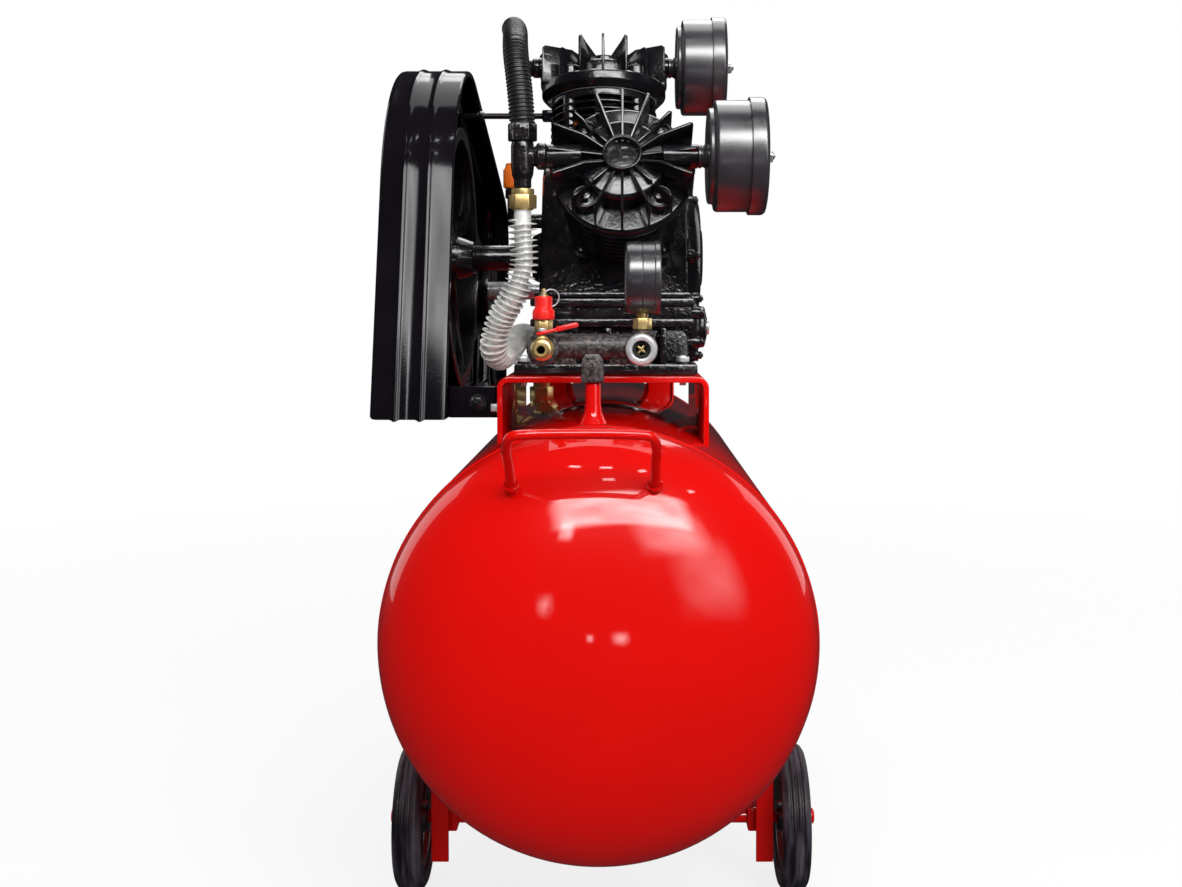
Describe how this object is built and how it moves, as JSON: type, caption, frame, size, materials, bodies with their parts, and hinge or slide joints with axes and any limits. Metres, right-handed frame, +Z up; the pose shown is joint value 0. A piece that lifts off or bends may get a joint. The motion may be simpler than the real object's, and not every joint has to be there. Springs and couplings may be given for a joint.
{
  "type": "air compressor",
  "caption": "Belt-driven V-twin air compressor on a horizontal wheeled tank, with a guarded belt drive, finned pump heads, air filters, gauge and valves.",
  "frame": {"origin": "on the floor, at the middle of the footprint's bounding box", "axes": "+Z up, +Y along the tank away from the carrying handle, +X to the right seen from the handle end, along the crankshaft towards the filters"},
  "size_m": [0.512, 1.0954, 1.0667],
  "materials": {
    "red_paint": "glossy red enamel",
    "black_cast": "satin black enamel over rough castings",
    "black_sheet": "glossy black enamel on sheet steel",
    "black_plastic": "matt black moulded plastic",
    "foot_rubber": "matt black rubber",
    "tyre": "solid black rubber",
    "bright_steel": "zinc-plated and turned steel",
    "fin_aluminium": "bare aluminium",
    "brass": "machined brass",
    "rough_iron": "rough unpainted casting",
    "red_plastic": "red plastic",
    "orange_plastic": "orange plastic"
  },
  "bodies": {
    "frame": {"tank_shell": "red_paint", "rear_dish": "red_paint", "front_dish": "red_paint", "front_handle": "red_paint", "left_wheel_bracket": "red_paint", "right_wheel_bracket": "red_paint", "left_rear_leg": "red_paint", "right_rear_leg": "red_paint", "pump_saddle": "red_paint", "motor_base": "red_paint", "riser_pipe": "red_paint", "crankcase": "black_cast", "side_cover": "black_cast", "front_cylinder": "black_cast", "front_head": "black_cast", "rear_cylinder": "black_cast", "rear_head": "black_cast", "front_tee": "black_cast", "rear_elbow": "black_cast", "motor_housing": "black_cast", "fan_cover": "black_sheet", "belt_guard": "black_sheet", "front_filter_base": "black_plastic", "front_filter_cover": "black_plastic", "rear_filter_base": "black_plastic", "rear_filter_cover": "black_plastic", "arch_tube": "black_plastic", "pressure_gauge": "black_plastic", "terminal_box": "black_plastic", "left_rear_foot": "foot_rubber", "right_rear_foot": "foot_rubber", "drive_belt": "foot_rubber", "axle": "bright_steel", "discharge_tube": "fin_aluminium", "drain_valve": "brass", "discharge_nut": "brass", "check_valve": "brass", "safety_valve_body": "brass", "ball_valve_body": "brass", "manifold": "rough_iron"},
    "crank": {"crankshaft": "bright_steel", "flywheel": "black_cast"},
    "motor_rotor": {"motor_shaft": "bright_steel", "motor_pulley": "black_cast"},
    "left_wheel": {"left_rim": "black_plastic", "left_tyre": "tyre"},
    "right_wheel": {"right_rim": "black_plastic", "right_tyre": "tyre"},
    "front_piston_body": {"front_piston": "fin_aluminium", "front_rod": "bright_steel"},
    "rear_piston_body": {"rear_piston": "fin_aluminium", "rear_rod": "bright_steel"},
    "valve_lever": {"ball_valve_lever": "red_plastic"},
    "safety_cap": {"safety_valve_cap": "red_plastic"},
    "needle": {"gauge_needle": "red_plastic"},
    "drain_tap": {"drain_knob": "brass"},
    "oil_cap": {"oil_filler_cap": "orange_plastic"},
    "front_nut": {"front_wing_nut": "bright_steel"},
    "rear_nut": {"rear_wing_nut": "bright_steel"},
    "coupler_sleeve": {"outlet_coupler": "bright_steel"}
  },
  "joints": [
    {"name": "crank_spin", "type": "hinge", "parent": "frame", "child": "crank", "pos_m": [-0.2, -0.0821, 0.76], "axis": [1, 0, 0], "continuous": true},
    {"name": "motor_spin", "type": "hinge", "parent": "frame", "child": "motor_rotor", "pos_m": [-0.2, 0.3579, 0.723], "axis": [1, 0, 0], "continuous": true},
    {"name": "left_wheel_spin", "type": "hinge", "parent": "frame", "child": "left_wheel", "pos_m": [-0.2265, -0.1621, 0.084], "axis": [1, 0, 0], "continuous": true},
    {"name": "right_wheel_spin", "type": "hinge", "parent": "frame", "child": "right_wheel", "pos_m": [0.2265, -0.1621, 0.084], "axis": [1, 0, 0], "continuous": true},
    {"name": "front_piston_stroke", "type": "slide", "parent": "frame", "child": "front_piston_body", "axis": [0, -0.91, 0.4147], "range_m": [0, 0.054]},
    {"name": "rear_piston_stroke", "type": "slide", "parent": "frame", "child": "rear_piston_body", "axis": [0, 0.1736, 0.9848], "range_m": [0, 0.054]},
    {"name": "valve_lever_turn", "type": "hinge", "parent": "frame", "child": "valve_lever", "pos_m": [-0.057, -0.4074, 0.672], "axis": [0, 0, 1], "range_deg": [-90, 0]},
    {"name": "safety_valve_pull", "type": "slide", "parent": "frame", "child": "safety_cap", "axis": [0, 0, 1], "range_m": [0, 0.004], "stiffness_N_per_m": 600},
    {"name": "gauge_needle_sweep", "type": "hinge", "parent": "frame", "child": "needle", "pos_m": [0.0575, -0.3821, 0.73], "axis": [-1, 0, 0], "range_deg": [0, 270]},
    {"name": "drain_tap_turn", "type": "hinge", "parent": "frame", "child": "drain_tap", "pos_m": [0, 0.0119, 0.094], "axis": [0, 0, 1], "range_deg": [0, 360]},
    {"name": "oil_cap_turn", "type": "hinge", "parent": "frame", "child": "oil_cap", "pos_m": [-0.111, -0.0821, 0.862], "axis": [0, 0, 1], "range_deg": [0, 360]},
    {"name": "front_wing_nut_turn", "type": "hinge", "parent": "frame", "child": "front_nut", "pos_m": [0.183, -0.30686, 0.86243], "axis": [1, 0, 0], "range_deg": [0, 720]},
    {"name": "rear_wing_nut_turn", "type": "hinge", "parent": "frame", "child": "rear_nut", "pos_m": [0.159, -0.03921, 1.00325], "axis": [1, 0, 0], "range_deg": [0, 720]},
    {"name": "coupler_sleeve_slide", "type": "slide", "parent": "frame", "child": "coupler_sleeve", "axis": [0, 1, 0], "range_m": [0, 0.003], "stiffness_N_per_m": 500}
  ],
  "couplings": [
    {"joint": "motor_spin", "follows": "crank_spin", "ratio": 3.09}
  ]
}
